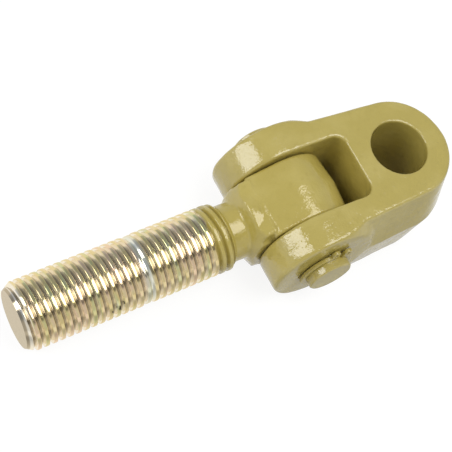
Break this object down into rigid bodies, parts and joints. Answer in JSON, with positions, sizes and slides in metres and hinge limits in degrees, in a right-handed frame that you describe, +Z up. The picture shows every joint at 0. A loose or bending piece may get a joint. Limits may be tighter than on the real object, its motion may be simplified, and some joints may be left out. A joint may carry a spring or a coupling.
{
  "type": "clevis rod end",
  "caption": "Forged clevis rod end: a yoke with a hitch-pin eye, hinged by a cross pin held with retaining rings to a threaded eye rod that swings in its fork.",
  "frame": {"origin": "centre of the eye bore, at mid height of the yoke", "axes": "+Z up along the eye bore; +X from the fork towards the round end; the cross pin lies along Y, and the threaded rod leaves towards -X, hanging about 4 degrees below level"},
  "size_m": [0.2072, 0.0716, 0.048],
  "materials": {
    "yoke_paint": "glossy olive enamel over a rough forging",
    "rod_plating": "yellow-chromate zinc on the thread, olive enamel on the tongue, collar and neck",
    "pin_paint": "glossy olive enamel",
    "ring_paint": "glossy olive enamel"
  },
  "bodies": {
    "yoke": {"clevis_yoke": "yoke_paint"},
    "rod": {"threaded_eye_rod": "rod_plating"},
    "pin": {"cross_pin": "pin_paint", "retaining_ring_near": "ring_paint", "retaining_ring_far": "ring_paint"}
  },
  "joints": [
    {"name": "rod_swing", "type": "hinge", "parent": "yoke", "child": "rod", "pos_m": [-0.048, 0, 0], "axis": [0, 1, 0], "range_deg": [-86, 94]},
    {"name": "pin_spin", "type": "hinge", "parent": "yoke", "child": "pin", "pos_m": [-0.048, 0, 0], "axis": [0, 1, 0], "continuous": true}
  ]
}
